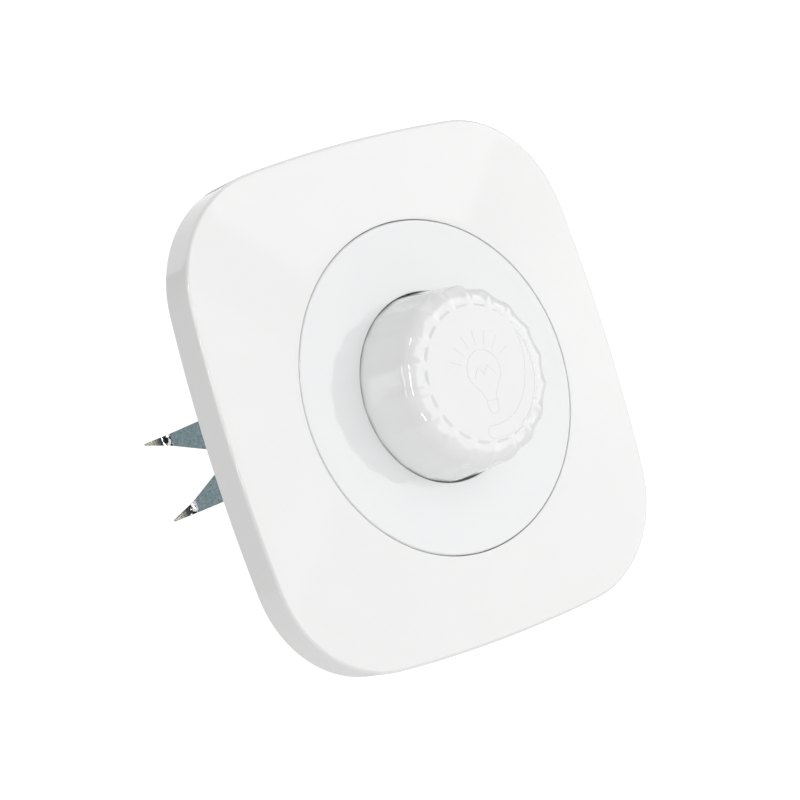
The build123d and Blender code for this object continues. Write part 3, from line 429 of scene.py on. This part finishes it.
def outline_arcs():
    """Return the outline's arcs, anticlockwise from the right side's"""
    reach = frame_bow_radius - frame_half_width
    rise = frame_bow_radius - frame_half_height
    side_centre = Vector((-reach, 0))
    top_centre = Vector((0, -rise))
    between = top_centre - side_centre
    across = Vector((-between.y, between.x)).normalized()
    arm = frame_bow_radius - frame_corner_radius
    offset = sqrt(arm ** 2 - (between.length / 2) ** 2)
    corner = (side_centre + top_centre) / 2 + across * offset
    side_angle = atan2(corner.y, corner.x + reach)
    top_angle = atan2(corner.y + rise, corner.x)
    arcs = []
    for quarter in range(4):
        turn = quarter * pi / 2
        flip = quarter % 2
        bow = top_centre if flip else side_centre
        middle = Matrix.Rotation(turn, 2) @ (Vector((-abs(bow.x + bow.y), 0)))
        half = pi / 2 - top_angle if flip else side_angle
        arcs.append((middle, frame_bow_radius, turn - half, turn + half))
        start = turn + half
        end = turn + pi / 2 - (side_angle if flip else pi / 2 - top_angle)
        signs = ((1, 1), (-1, 1), (-1, -1), (1, -1))[quarter]
        place = Vector((corner.x * signs[0], corner.y * signs[1]))
        arcs.append((place, frame_corner_radius, start, end))
    return arcs


def arc_steps(radius):
    """Return how many steps an arc of the outline has"""
    return bow_steps if radius > frame_corner_radius else corner_steps


def outline_stations(inset):
    """Return points along the outline, moved inwards by inset"""
    stations = []
    for centre, radius, start, end in outline_arcs():
        steps = arc_steps(radius)
        for n in range(steps):
            angle = start + (end - start) * n / steps
            stations.append(centre + (radius - inset) * Vector((cos(angle), sin(angle))))
    return stations


def circle_angles():
    """Return the angle about the knob's axis that goes with each station of the outline"""
    arcs = outline_arcs()
    starts = [centre + radius * Vector((cos(start), sin(start))) for centre, radius, start, end in arcs]
    turns = [atan2(point.y, point.x) for point in starts]
    angles = []
    for n, (centre, radius, start, end) in enumerate(arcs):
        steps = arc_steps(radius)
        gap = (turns[(n + 1) % len(turns)] - turns[n]) % (2 * pi)
        angles += [turns[n] + gap * k / steps for k in range(steps)]
    return angles


def frame_section(edge, low_edge, inner, low_inner, circle_angle):
    """Return the closed section of the cover frame at one place of its outline"""
    def ring(radius, height):
        return around(radius, circle_angle, height)

    def out(point, height):
        return at(point.x, point.y, height)

    rim_steps = 8
    hole_steps = 3
    wall_steps = 4
    face_steps = 16
    corner = out(edge, frame_edge_height)
    foot = out(low_edge, 0)
    hole_corner = ring(plate_hole_radius, face_height)
    rim = rounded_corner(corner, foot - corner, hole_corner - corner, frame_edge_fillet, rim_steps)
    hole_foot = ring(plate_hole_radius, plate_back)
    hole = rounded_corner(hole_corner, corner - hole_corner, hole_foot - hole_corner,
                          hole_edge_radius, hole_steps)
    section = [foot] + [foot.lerp(rim[0], n / wall_steps) for n in range(1, wall_steps)] + rim
    section += [rim[-1].lerp(hole[0], n / face_steps) for n in range(1, face_steps)] + hole
    ledge = plate_hole_radius - ledge_width
    section += [hole_foot, ring(ledge, plate_back), ring(ledge, plate_back - ledge_thickness)]
    section += [ring(plate_hole_radius + frame_wall, plate_back - ledge_thickness)]
    section += [ring(plate_hole_radius + frame_wall, plate_back)]
    section += [out(inner, frame_edge_height - frame_wall), out(low_inner, 0)]
    return section


def add_frame_ribs(vertices, faces):
    """Add the ribs that centre the frame on the support frame, two on each side"""
    root = frame_draft + frame_wall / 2
    top = frame_edge_height - frame_wall
    support = high_of("support_frame")
    sides = ((frame_half_width, support.x, False), (frame_half_height, support.z, True))
    for side in (-1, 1):
        for place in (-rib_spacing / 2, rib_spacing / 2):
            low, high = place - rib_thickness / 2, place + rib_thickness / 2
            for half, stop, upright in sides:
                near, far = sorted((side * (stop + rib_gap), side * (half - root)))
                first = (low, near) if upright else (near, low)
                last = (high, far) if upright else (far, high)
                add_box(vertices, faces, (first[0], -top, first[1]), (last[0], -rib_recess, last[1]))


def make_cover_frame():
    """Make the gloss frame as one smooth shell with its ledge and locating ribs"""
    insets = (0, frame_draft, frame_wall, frame_draft + frame_wall)
    rows = [outline_stations(inset) for inset in insets]
    sections = [frame_section(*stations) for stations in zip(*rows, circle_angles())]
    vertices = [point for section in sections for point in section]
    faces = loop_faces(len(sections), len(sections[0]))
    add_frame_ribs(vertices, faces)
    piece = new_piece("cover_frame_shell", vertices, faces)
    return dress(piece, "insert", "white_plastic", "cover_frame")


# Centre plate, turned about the knob's axis


def make_centre_plate():
    """Make the round plate with its filleted edges, well and ribs"""
    edge_steps = 6
    face_steps = 8
    steps = 256

    def edge(radius, from_side, to_side, fillet):
        spot = Vector((radius, face_height))
        return rounded_corner(spot, Vector(from_side), Vector(to_side), fillet, edge_steps)

    profile = edge(well_radius, (0, -1), (1, 0), well_edge_radius)
    inner = well_radius + well_edge_radius
    outer = plate_radius - plate_edge_radius
    profile += [Vector((inner + (outer - inner) * n / face_steps, face_height)) for n in range(1, face_steps)]
    profile += edge(plate_radius, (-1, 0), (0, -1), plate_edge_radius)
    profile += [Vector(point) for point in (
        (plate_radius, plate_back),
        (well_radius + well_wall, plate_back),
        (well_radius + well_wall, well_bottom),
        (plate_foot_radius, well_bottom),
        (plate_foot_radius, 0),
        (plate_bore_radius, 0),
        (plate_bore_radius, floor_height),
        (well_radius, floor_height),
    )]
    vertices = []
    for n in range(steps):
        vertices += [around(point.x, 2 * pi * n / steps, point.y) for point in profile]
    vertices = [vertex + at(plate_play, 0, 0) for vertex in vertices]
    faces = loop_faces(steps, len(profile))
    ledge = plate_hole_radius - ledge_width
    for n in range(plate_rib_count):
        start = len(vertices)
        add_box(vertices, faces, (well_radius + plate_gap, -plate_back, -rib_thickness / 2),
                (ledge - plate_gap, -(plate_back - plate_rib_depth), rib_thickness / 2))
        turn = Matrix.Rotation(2 * pi * n / plate_rib_count, 4, "Y")
        vertices[start:] = [turn @ vertex for vertex in vertices[start:]]
    piece = new_piece("centre_plate_disc", vertices, faces)
    return dress(piece, "insert", "plate_plastic", "centre_plate")


# Knob: fluted skirt, rounded shoulder and a face with engraved lines


def flute(angle):
    """Return how deep the flutes are at this angle, from 0 on a ridge to 1 in a valley"""
    return abs(sin(angle * flute_count / 2)) ** flute_sharpness


def crescent(angle):
    """Return the same for the step round the face, whose valleys are flat and ridges narrow"""
    return 1 - abs(cos(angle * flute_count / 2)) ** face_step_fullness


def skirt_radius(angle, height):
    """Return the radius of the fluted skirt, whose flutes run out towards the centre plate"""
    above_plate = max(0, height - face_height)
    ridge = knob_foot_radius - above_plate * tan(knob_taper)
    share = above_plate / (knob_front - knob_shoulder_depth - face_height)
    depth = flute_depth * (flute_foot_share + (1 - flute_foot_share) * share)
    return ridge * (1 - depth / knob_radius * flute(angle))


def knob_rings(steps):
    """Return rings of points from the face, which stands proud of the flutes, to the roof inside"""
    shoulder_steps = 20
    skirt_steps = 14
    edge = 0.3 * mm
    shoulder_height = knob_front - knob_shoulder_depth
    angles = [2 * pi * n / steps for n in range(steps)]
    rings = [[around(knob_face_radius, angle, knob_front) for angle in angles]]
    start = knob_face_radius + face_step_width
    for n in range(shoulder_steps + 1):
        lift = pi / 2 * (1 - n / shoulder_steps)
        ring = []
        for angle in angles:
            reach = skirt_radius(angle, shoulder_height) - start
            depth = knob_shoulder_depth - face_step * crescent(angle)
            ring.append(around(start + reach * cos(lift), angle, shoulder_height + depth * sin(lift)))
        rings.append(ring)
    for n in range(1, skirt_steps + 1):
        height = shoulder_height + (knob_back + edge - shoulder_height) * n / skirt_steps
        rings.append([around(skirt_radius(angle, height), angle, height) for angle in angles])
    rings.append([around(skirt_radius(angle, knob_back) - edge, angle, knob_back) for angle in angles])
    cup = knob_foot_radius - flute_depth - knob_wall
    roof_height = knob_front - knob_roof
    roof = cup - (roof_height - knob_back) * tan(knob_taper)
    for radius, height in ((cup, knob_back), (roof, roof_height)):
        rings.append([around(radius, angle, height) for angle in angles])
    return rings


# Pictogram: each stroke is a line of points and whether it is closed


def arc(centre, radius, start, end, steps):
    """Return points along an arc, with its angles in degrees"""
    points = []
    for n in range(steps + 1):
        angle = radians(start + (end - start) * n / steps)
        points.append(Vector((centre[0] + radius * cos(angle), centre[1] + radius * sin(angle))))
    return points


def curve(a, b, c, d, steps):
    """Return points along a cubic curve with two end points and two handles"""
    points = []
    for n in range(steps + 1):
        s = n / steps
        parts = ((1 - s) ** 3, 3 * s * (1 - s) ** 2, 3 * s * s * (1 - s), s ** 3)
        points.append(sum((part * Vector(spot) for part, spot in zip(parts, (a, b, c, d))), Vector((0, 0))))
    return points


def bulb_outline(base_z):
    """Return the closed outline of a bulb about the middle of its head, with its cap below base_z"""
    head = 3.4
    neck_angle = 48
    neck_half = 1.08
    neck_flare = 0.1
    neck_reach = 0.9
    base_reach = 1.2
    foot_z = -7.05
    foot_reach = neck_half * 0.95
    head_steps = 44
    neck_steps = 10
    cap_steps = 8
    turn_in = Vector((head * sin(radians(neck_angle)), -head * cos(radians(neck_angle))))
    heading = Vector((-cos(radians(neck_angle)), -sin(radians(neck_angle))))
    neck = curve(turn_in, turn_in + heading * neck_reach, (neck_half + neck_flare, base_z + base_reach),
                 (neck_half, base_z), neck_steps)
    cap = curve((neck_half, base_z), (neck_half, base_z - base_reach), (foot_reach, foot_z), (0, foot_z),
                cap_steps)
    right = neck + cap[1:]
    left = [Vector((-point.x, point.y)) for point in reversed(right)]
    head_arc = arc((0, 0), head, 270 - neck_angle, neck_angle - 90, head_steps)
    return left[1:] + head_arc[1:-1] + right[:-1]


def bulb_strokes():
    """Return the strokes of a light bulb: its outline, its filament and the line over its cap"""
    centre = Vector((0.45, 0.3))
    tilt = Matrix.Rotation(radians(-2), 2)
    filament_spots = ((-2.2, -0.8), (-1.05, 0.8), (-0.1, -0.7), (1.0, 0.8), (2.2, -0.8))
    base_half = 0.838
    base_z = -4.9
    filament = [Vector(spot) for spot in filament_spots]
    base = [Vector((-base_half, base_z)), Vector((base_half, base_z))]
    strokes = ((bulb_outline(base_z), True), (filament, False), (base, False))
    return [([tilt @ point + centre for point in line], closed) for line, closed in strokes]


def ray_strokes():
    """Return the rays that fan out over the bulb"""
    centre_x = 0.35
    centre_z = 0.1
    ray_count = 7
    first_angle = 25
    angle_between = 21.4
    ray_ends = (4.6, 6.8)
    strokes = []
    for n in range(ray_count):
        direction = radians(first_angle + angle_between * n)
        ray = [Vector((centre_x + r * cos(direction), centre_z + r * sin(direction))) for r in ray_ends]
        strokes.append((ray, False))
    return strokes


def wedge_strokes():
    """Return the outline of the wedge that grows towards the bright end"""
    outer_radius = 10.75
    thickness = 2.15
    thin_end = 30
    thick_end = -98
    grown_share = 0.5
    steps = 40
    cap_steps = 12
    inner = []
    for n in range(steps + 1):
        share = n / steps
        angle = radians(thin_end + (thick_end - thin_end) * share)
        radius = outer_radius - thickness * sin(pi / 2 * min(1, share / grown_share))
        inner.append(Vector((radius * cos(angle), radius * sin(angle))))
    outer = arc((0, 0), outer_radius, thick_end, thin_end, steps)
    end_angle = radians(thick_end)
    middle = outer_radius - thickness / 2
    cap_centre = (middle * cos(end_angle), middle * sin(end_angle))
    cap = arc(cap_centre, thickness / 2, thick_end + 180, thick_end + 360, cap_steps)
    return [(inner + cap[1:-1] + outer[:-1], True)]


def offset_line(points, closed, distance):
    """Return a line beside another, at this distance to its left"""
    sharpest_bend = 0.35
    moved = []
    count = len(points)
    for n, point in enumerate(points):
        before = points[n - 1] if closed or n else point
        after = points[(n + 1) % count] if closed or n < count - 1 else point
        back = (point - before).normalized() if point != before else Vector((0, 0))
        ahead = (after - point).normalized() if after != point else Vector((0, 0))
        way = (back + ahead).normalized()
        side = Vector((-way.y, way.x))
        bend = max(sharpest_bend, side.dot(Vector((-ahead.y, ahead.x)))) if ahead.length else 1
        moved.append(point + side * (distance / bend))
    return moved


def groove_height(point, strokes):
    """Return how deep the face is cut at a point, from its distance to the nearest stroke"""
    nearest = min(line_distance(point, a, b) for a, b in strokes)
    share = max(0.0, 1 - nearest / groove_half_width)
    return groove_depth * min(1.0, share * groove_steepness)


def line_distance(point, a, b):
    """Return the distance from a point to a straight stretch"""
    along = b - a
    share = max(0.0, min(1.0, (point - a).dot(along) / along.length_squared))
    return (point - a - along * share).length


def end_cap(end, inward, steps=6):
    """Return a half circle round the end of an open stroke"""
    way = (end - inward).normalized()
    side = Vector((-way.y, way.x))
    angles = [pi * n / steps for n in range(steps + 1)]
    return [end + (side * cos(angle) + way * sin(angle)) * groove_half_width for angle in angles]


def engraved_face(steps):
    """Return the points and triangles of the knob's face, cut along the pictogram's strokes"""
    points, edges = [], []

    def add_line(line, closed):
        start = len(points)
        points.extend(line)
        count = len(line)
        last = count if closed else count - 1
        edges.extend((start + n, start + (n + 1) % count) for n in range(last))

    rim = [Vector((cos(2 * pi * n / steps), sin(2 * pi * n / steps))) for n in range(steps)]
    add_line([point * knob_face_radius for point in rim], True)
    add_line([point * (knob_face_radius - face_rim_width) for point in rim], True)
    stretches = []
    for line, closed in bulb_strokes() + ray_strokes() + wedge_strokes():
        line = [point * mm for point in line]
        ends = zip(line, line[1:] + line[:1]) if closed else zip(line, line[1:])
        stretches += list(ends)
        for share in groove_lines:
            add_line(offset_line(line, closed, share * groove_half_width), closed)
        if not closed:
            add_line(end_cap(line[0], line[1]), False)
            add_line(end_cap(line[-1], line[-2]), False)
    inside_outline = 1
    same_point = 1e-7
    made = delaunay_2d_cdt(points, edges, [list(range(steps))], inside_outline, same_point)
    flat, triangles = made[0], made[2]
    vertices = [at(p.x, p.y, knob_front - groove_height(p, stretches)) for p in flat]
    return vertices, triangles


def make_knob():
    """Make the knob's cap with its engraved face"""
    steps = flute_count * steps_per_flute
    rings = knob_rings(steps)
    vertices, faces = [], []
    for ring in rings:
        vertices += ring
    for k in range(len(rings) - 1):
        for n in range(steps):
            after = (n + 1) % steps
            faces.append([k * steps + n, k * steps + after, (k + 1) * steps + after, (k + 1) * steps + n])
    faces.append([(len(rings) - 1) * steps + n for n in range(steps)])
    start = len(vertices)
    face_vertices, triangles = engraved_face(steps)
    vertices += face_vertices
    faces += [[start + corner for corner in triangle] for triangle in triangles]
    piece = new_piece("knob_cap", vertices, faces, crease=25)
    return dress(piece, "knob", "knob_plastic", "knob")


# Claw screws: slotted head and cut thread


def screw_head(centre, front, vertices, faces):
    """Add a screw's slotted head to a mesh: a disc with two chamfered halves on it"""
    radius = (high_of("claw_screw_left").x - low_of("claw_screw_left").x) / 2
    base = front - screw_slot_depth
    under = front - screw_head_height
    half_slot = screw_slot_width / 2
    steps = 24
    start = len(vertices)
    for height in (under, base):
        vertices += [centre + around(radius, pi * n / steps, height) for n in range(2 * steps)]
    for n in range(2 * steps):
        after = (n + 1) % (2 * steps)
        faces.append([start + n, start + after, start + 2 * steps + after, start + 2 * steps + n])
    faces.append([start + n for n in range(2 * steps)])
    faces.append([start + 2 * steps + n for n in range(2 * steps)])
    levels = ((base, radius), (front - screw_head_chamfer, radius), (front, radius - screw_head_chamfer))
    for half in (1, -1):
        start = len(vertices)
        for height, reach in levels:
            edge = atan2(half_slot, sqrt(reach ** 2 - half_slot ** 2))
            for n in range(steps + 1):
                angle = half * (edge + (pi - 2 * edge) * n / steps)
                vertices.append(centre + around(reach, angle, height))
        row = steps + 1
        for k in range(2):
            for n in range(steps):
                corner = start + k * row + n
                faces.append([corner, corner + 1, corner + row + 1, corner + row])
        faces.append([start + n for n in range(row)])
        faces.append([start + 2 * row + n for n in range(row)])
        faces.append([start + k * row for k in range(3)] + [start + k * row + steps for k in (2, 1, 0)])


def make_claw_screw(name):
    """Make one claw screw with its right-hand thread"""
    low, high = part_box(f"claw_screw_{name}")
    centre = Vector(((low.x + high.x) / 2, 0, 0))
    front, tip = -low.y, -high.y
    vertices, faces = [], []
    screw_head(centre, front, vertices, faces)
    around_steps = 24
    pitch_steps = 8
    top = front - screw_head_height
    rings = round((top - tip) / thread_pitch * pitch_steps)
    start = len(vertices)
    for k in range(rings + 1):
        height = top + (tip - top) * k / rings
        taper = min(1, (height - tip) / thread_pitch)
        for n in range(around_steps):
            turn = n / around_steps
            phase = (turn - height / thread_pitch) % 1
            crest = min(1, thread_flank_slope * abs(2 * phase - 1))
            radius = screw_shank_radius - thread_depth * (1 - crest * taper)
            vertices.append(centre + around(radius, 2 * pi * turn, height))
    for k in range(rings):
        for n in range(around_steps):
            after = (n + 1) % around_steps
            corner, beyond = start + k * around_steps, start + (k + 1) * around_steps
            faces.append([corner + n, corner + after, beyond + after, beyond + n])
    faces.append([start + n for n in range(around_steps)])
    faces.append([start + rings * around_steps + n for n in range(around_steps)])
    piece = new_piece(f"claw_screw_{name}_threaded", vertices, faces, crease=35)
    dress(piece, f"claw_screw_{name}", "screw_steel", f"claw_screw_{name}")


def make_switch_spring():
    """Make the coil spring behind the push switch's plunger, which shortens as the knob is pushed"""
    low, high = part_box("switch_spring")
    coil_radius = (high.x - low.x - spring_wire) / 2
    front, back = -low.y - spring_wire / 2, -high.y + spring_wire / 2
    sides = 10
    steps_per_turn = 32
    steps = spring_turns * steps_per_turn
    vertices = []
    for n in range(steps + 1):
        share = n / steps
        eased = share - spring_closed_share * sin(2 * pi * share) / (2 * pi)
        turn = 2 * pi * spring_turns * share
        for k in range(sides):
            bend = 2 * pi * k / sides
            reach = coil_radius + spring_wire / 2 * cos(bend)
            height = front + (back - front) * eased + spring_wire / 2 * sin(bend)
            vertices.append(around(reach, turn, height))
    faces = loop_faces(steps + 1, sides)[:steps * sides]
    faces.append(list(range(sides)))
    faces.append([steps * sides + k for k in range(sides)])
    piece = new_piece("switch_spring_coil", vertices, faces, crease=40)
    dress(piece, "insert", "spring_steel", "switch_spring")
    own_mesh(piece)


def soften_edges(node, width):
    """Round a CAD node's sharp edges a little, with modifiers that leave its mesh as it is"""
    steps = 2
    sharpest_kept = 40
    piece = frame["nodes"][node]
    weld = piece.modifiers.new("weld", "WELD")
    weld.merge_threshold = weld_distance
    bevel = piece.modifiers.new("soft_edges", "BEVEL")
    bevel.width = width
    bevel.segments = steps
    bevel.limit_method = "ANGLE"
    bevel.angle_limit = radians(sharpest_kept)


def dress_cad_nodes():
    """Give each CAD node that shows its procedural material"""
    for entry in frame["record"]["subparts"]:
        slots = frame["nodes"][entry["node"]].data.materials
        slots.clear()
        slots.append(materials[entry["material_slot"]])
    for name, side in (("left", -1), ("right", 1)):
        frame["nodes"][f"claw_{name}"].data.materials[0] = claw_metal(f"claw_zinc_{name}", side)
        soften_edges(f"claw_{name}", claw_edge_width)
        soften_edges(f"claw_nut_{name}", nut_edge_width)


def make_stage():
    """Make the plain pale floor under the dimmer"""
    floor_radius = 8
    floor_depth = 1.2
    floor_steps = 96
    floor_dark = (0.90, 0.90, 0.90)
    floor_light = (0.94, 0.94, 0.94)
    drift_scale = 0.8
    floor_roughness = 0.8
    glow = 0.14
    rim = [around(floor_radius, 2 * pi * n / floor_steps, 0) for n in range(floor_steps)]
    corners = [Vector((point.x, point.z, -floor_depth)) for point in rim]
    floor = new_piece("floor", corners, [list(range(floor_steps))])
    material, shader, place = new_material("pale_floor")
    tone = ramp(material, noise(material, place, drift_scale), floor_dark, floor_light)
    material.node_tree.links.new(tone, shader.inputs["Base Color"])
    shader.inputs["Roughness"].default_value = floor_roughness
    shader.inputs["Emission Color"].default_value = (1, 1, 1, 1)
    shader.inputs["Emission Strength"].default_value = glow
    floor.data.materials.append(material)


def make_camera():
    """Place the camera where the photograph was taken from, with its turn in degrees"""
    place = (-0.430810, -0.529322, 0.003964)
    turn = (89.6268, 17.4661, -39.2216)
    focal_length = 187.276
    data = bpy.data.cameras.new("camera")
    data.lens = focal_length
    data.clip_start = 0.01
    data.clip_end = 100
    camera = bpy.data.objects.new("camera", data)
    camera.location = place
    camera.rotation_euler = [radians(angle) for angle in turn]
    bpy.context.scene.collection.objects.link(camera)
    bpy.context.scene.camera = camera


# Panels of light: direction and size in degrees, strength, and whether they show in the gloss or only light
panels = {
    "right_panel": (48, 0, 62, 66, 1.9, True),
    "top_panel": (50, 26, 44, 26, 0.6, True),
    "high_panel": (105, 60, 60, 40, 0.7, True),
    "back_top_panel": (171, 36, 50, 44, 0.75, True),
    "front_panel": (2, 0, 30, 66, 2.2, True),
    "right_softbox": (15, 10, 50, 60, 0.62, False),
    "left_softbox": (-80, -25, 40, 60, 0.36, False),
    "strip_light": (-50, 14, 4, 34, 34, True),
    "far_strip_light": (-94, 14, 7, 30, 5, True),
}


def add_panel(name, azimuth, elevation, wide, tall, strength, in_gloss):
    """Place a soft panel that faces the dimmer"""
    distance = 2.0
    bearing, rise = radians(azimuth), radians(elevation)
    data = bpy.data.lights.new(name, "AREA")
    data.shape = "RECTANGLE"
    data.size = 2 * distance * tan(radians(wide / 2))
    data.size_y = 2 * distance * tan(radians(tall / 2))
    data.energy = strength * data.size * data.size_y * pi
    light = bpy.data.objects.new(name, data)
    light.location = distance * Vector((cos(rise) * sin(bearing), -cos(rise) * cos(bearing), sin(rise)))
    light.rotation_euler = (-light.location).to_track_quat("-Z", "Y").to_euler()
    light.visible_camera = False
    light.visible_diffuse = not in_gloss
    light.visible_glossy = in_gloss
    bpy.context.scene.collection.objects.link(light)


def make_room():
    """Light the dimmer with an even room, darker behind it, that the camera sees as plain white"""
    room_levels = ((0.0, 0.74), (0.5, 0.61), (1.0, 0.42))
    room_tint = 0.995
    backdrop_strength = 1.1
    world = bpy.data.worlds.new("studio")
    world.use_nodes = True
    bpy.context.scene.world = world
    nodes, links = world.node_tree.nodes, world.node_tree.links
    place = nodes.new("ShaderNodeTexCoord")
    split = nodes.new("ShaderNodeSeparateXYZ")
    links.new(place.outputs["Generated"], split.inputs["Vector"])
    stretch = nodes.new("ShaderNodeMapRange")
    stretch.inputs["From Min"].default_value = -1
    links.new(split.outputs["Y"], stretch.inputs["Value"])
    colours = nodes.new("ShaderNodeValToRGB")
    stops = colours.color_ramp.elements
    while len(stops) < len(room_levels):
        stops.new(room_levels[1][0])
    for stop, (position, level) in zip(stops, room_levels):
        stop.position = position
        stop.color = (level * room_tint, level, level * room_tint, 1)
    links.new(stretch.outputs["Result"], colours.inputs["Fac"])
    background = nodes["Background"]
    links.new(colours.outputs["Color"], background.inputs["Color"])
    white = nodes.new("ShaderNodeBackground")
    white.inputs["Color"].default_value = (1, 1, 1, 1)
    white.inputs["Strength"].default_value = backdrop_strength
    seen = nodes.new("ShaderNodeLightPath")
    mix = nodes.new("ShaderNodeMixShader")
    links.new(seen.outputs["Is Camera Ray"], mix.inputs["Fac"])
    links.new(background.outputs["Background"], mix.inputs[1])
    links.new(white.outputs["Background"], mix.inputs[2])
    links.new(mix.outputs["Shader"], nodes["World Output"].inputs["Surface"])


dress_cad_nodes()
make_cover_frame()
make_centre_plate()
make_knob()
for side_name in ("left", "right"):
    make_claw_screw(side_name)
make_switch_spring()
make_stage()
make_camera()
make_room()
for panel_name, panel in panels.items():
    add_panel(panel_name, *panel)
bpy.context.scene.view_settings.view_transform = "Standard"
